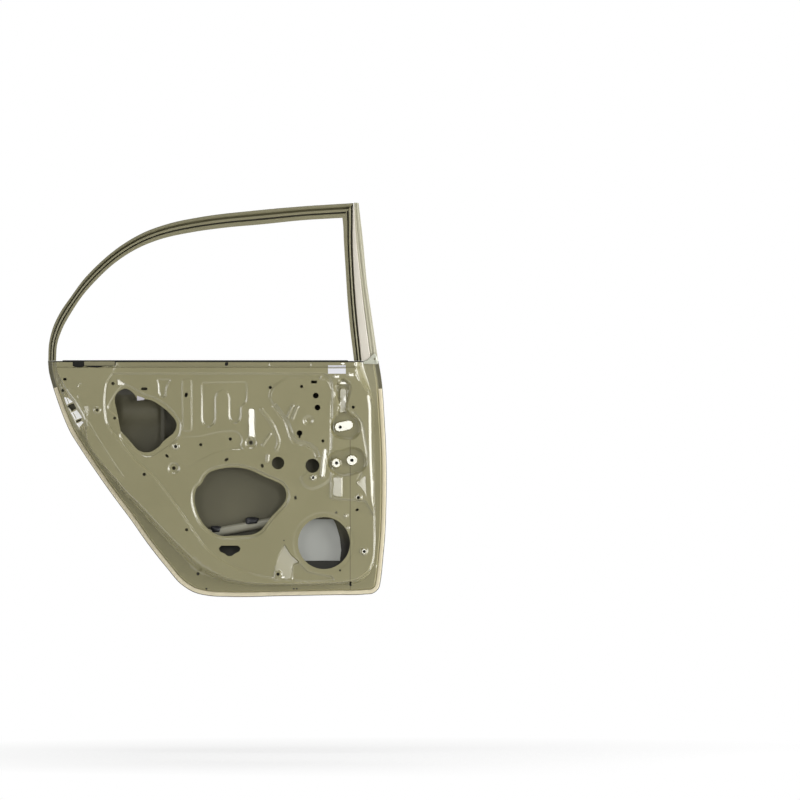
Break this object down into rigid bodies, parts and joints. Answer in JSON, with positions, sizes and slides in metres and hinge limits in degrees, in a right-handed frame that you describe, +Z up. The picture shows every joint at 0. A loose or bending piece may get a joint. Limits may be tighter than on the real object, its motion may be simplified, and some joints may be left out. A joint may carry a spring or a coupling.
{
  "type": "car door shell",
  "caption": "Bare left rear car door: stamped inner panel hemmed into the outer skin, roll-formed window frame, belt rails, side-impact tube and hinge plates.",
  "frame": {"origin": "middle of the upper hinge seat, on the flat front face of the inner panel between its two bolt holes", "axes": "+X towards the front of the car, square to the hinge seats; +Y out of the car; +Z up"},
  "size_m": [0.9662, 0.1928, 1.1217],
  "materials": {
    "primer_paint": "glossy olive electrocoat primer",
    "inner_primer": "olive electrocoat primer, a little darker",
    "pale_primer": "pale primer overspray",
    "seam_sealer": "cream seam sealer",
    "mastic": "black mastic",
    "damping": "grey damping sheet",
    "coated_steel": "olive electrocoat primer on heavier steel"
  },
  "bodies": {
    "root": {"inner_panel": "primer_paint", "outer_panel": "inner_primer", "hem_sealer": "seam_sealer", "upper_sash": "primer_paint", "front_sash": "primer_paint", "pillar_plate": "pale_primer", "pillar_outer_strip": "seam_sealer", "belt_gusset_front": "primer_paint", "belt_rail_inner": "primer_paint", "belt_rail_outer": "primer_paint", "intrusion_beam": "coated_steel", "beam_bracket_front": "coated_steel", "beam_bracket_rear": "coated_steel", "mastic_pad_1": "mastic", "mastic_pad_2": "mastic", "mastic_pad_3": "mastic", "mastic_pad_4": "mastic", "hinge_reinforcement_upper": "coated_steel", "hinge_reinforcement_lower": "coated_steel", "hinge_nut_plate_upper": "coated_steel", "hinge_nut_plate_lower": "coated_steel", "check_strap_reinforcement": "coated_steel", "front_glass_channel": "coated_steel", "rear_glass_channel": "coated_steel", "weld_nut_1": "coated_steel", "weld_nut_2": "coated_steel", "weld_nut_3": "coated_steel", "weld_nut_4": "coated_steel", "weld_nut_5": "coated_steel", "weld_nut_6": "coated_steel", "handle_reinforcement": "coated_steel", "latch_reinforcement": "coated_steel", "damping_sheet": "damping"}
  },
  "joints": []
}
